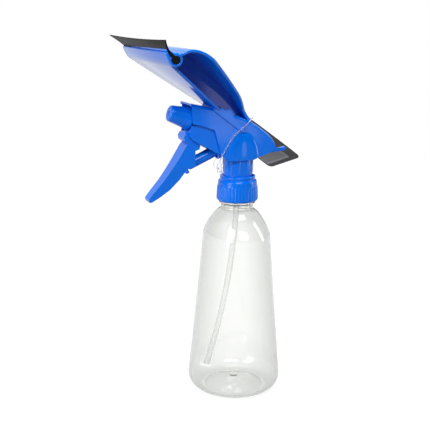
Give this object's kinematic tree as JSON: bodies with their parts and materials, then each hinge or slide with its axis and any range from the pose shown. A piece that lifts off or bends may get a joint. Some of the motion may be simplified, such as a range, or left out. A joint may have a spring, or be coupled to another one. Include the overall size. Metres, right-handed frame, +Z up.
{
  "type": "trigger spray bottle with squeegee arm",
  "caption": "Clear trigger spray bottle with a blue pump head and a squeegee arm that carries a rubber blade; cap unscrews, trigger pumps and nozzle turns.",
  "frame": {"origin": "middle of the bottle's base, on the surface it stands on", "axes": "+Z up the bottle, -X the way the nozzle sprays, +Y along the squeegee blade"},
  "size_m": [0.1583, 0.108, 0.2976],
  "materials": {
    "clear_pet": "clear blown PET, glossy",
    "blue_plastic": "glossy blue polypropylene",
    "black_rubber": "satin black rubber",
    "natural_pe": "translucent natural polyethylene",
    "seal_rubber": "soft pale sealing rubber",
    "steel_wire": "stainless spring wire and ball",
    "black_card": "printed black card",
    "clear_nylon": "translucent nylon filament"
  },
  "bodies": {
    "bottle": {"bottle": "clear_pet"},
    "head": {"valve_body": "blue_plastic", "shroud": "blue_plastic", "mouth_gasket": "seal_rubber", "tube_socket": "natural_pe", "dip_tube": "natural_pe", "outlet_valve": "seal_rubber", "spin_insert": "natural_pe", "return_spring": "steel_wire", "trigger_pin": "blue_plastic", "squeegee_arm": "blue_plastic", "squeegee_blade": "black_rubber", "tag_card": "black_card", "tag_lock": "clear_nylon", "tag_loop": "clear_nylon"},
    "cap": {"cap": "blue_plastic"},
    "inlet_ball": {"inlet_ball": "steel_wire"},
    "trigger": {"trigger": "blue_plastic"},
    "piston": {"piston_rod": "blue_plastic", "piston_cup": "seal_rubber"},
    "nozzle_seal": {"nozzle_seal": "seal_rubber"},
    "nozzle": {"nozzle": "blue_plastic"}
  },
  "joints": [
    {"name": "head_rise", "type": "slide", "parent": "bottle", "child": "head", "axis": [0, 0, 1], "range_m": [0, 0.00529]},
    {"name": "cap_turn", "type": "hinge", "parent": "head", "child": "cap", "pos_m": [0, 0, 0.17], "axis": [0, 0, 1], "range_deg": [0, 450]},
    {"name": "ball_lift", "type": "slide", "parent": "head", "child": "inlet_ball", "axis": [0, 0, 1], "range_m": [0, 0.0015]},
    {"name": "trigger_pull", "type": "hinge", "parent": "head", "child": "trigger", "pos_m": [-0.0407, 0, 0.2223], "axis": [0, -1, 0], "range_deg": [0, 20], "stiffness_Nm_per_rad": 0.25, "springref_deg": -17.19},
    {"name": "piston_stroke", "type": "slide", "parent": "head", "child": "piston", "axis": [0.9135, 0, 0.4067], "range_m": [0, 0.00733], "deforming": ["return_spring"]},
    {"name": "nozzle_advance", "type": "slide", "parent": "head", "child": "nozzle_seal", "axis": [-0.9613, 0, 0.2756], "range_m": [0, 0.00225]},
    {"name": "nozzle_turn", "type": "hinge", "parent": "nozzle_seal", "child": "nozzle", "pos_m": [-0.04326, 0, 0.2339], "axis": [-0.9613, 0, 0.2756], "range_deg": [0, 540]}
  ],
  "couplings": [
    {"joint": "cap_turn", "follows": "head_rise", "rad_per_m": 1484.3},
    {"joint": "trigger_pull", "follows": "piston_stroke", "rad_per_m": 47.619},
    {"joint": "nozzle_turn", "follows": "nozzle_advance", "rad_per_m": 4188.7}
  ]
}
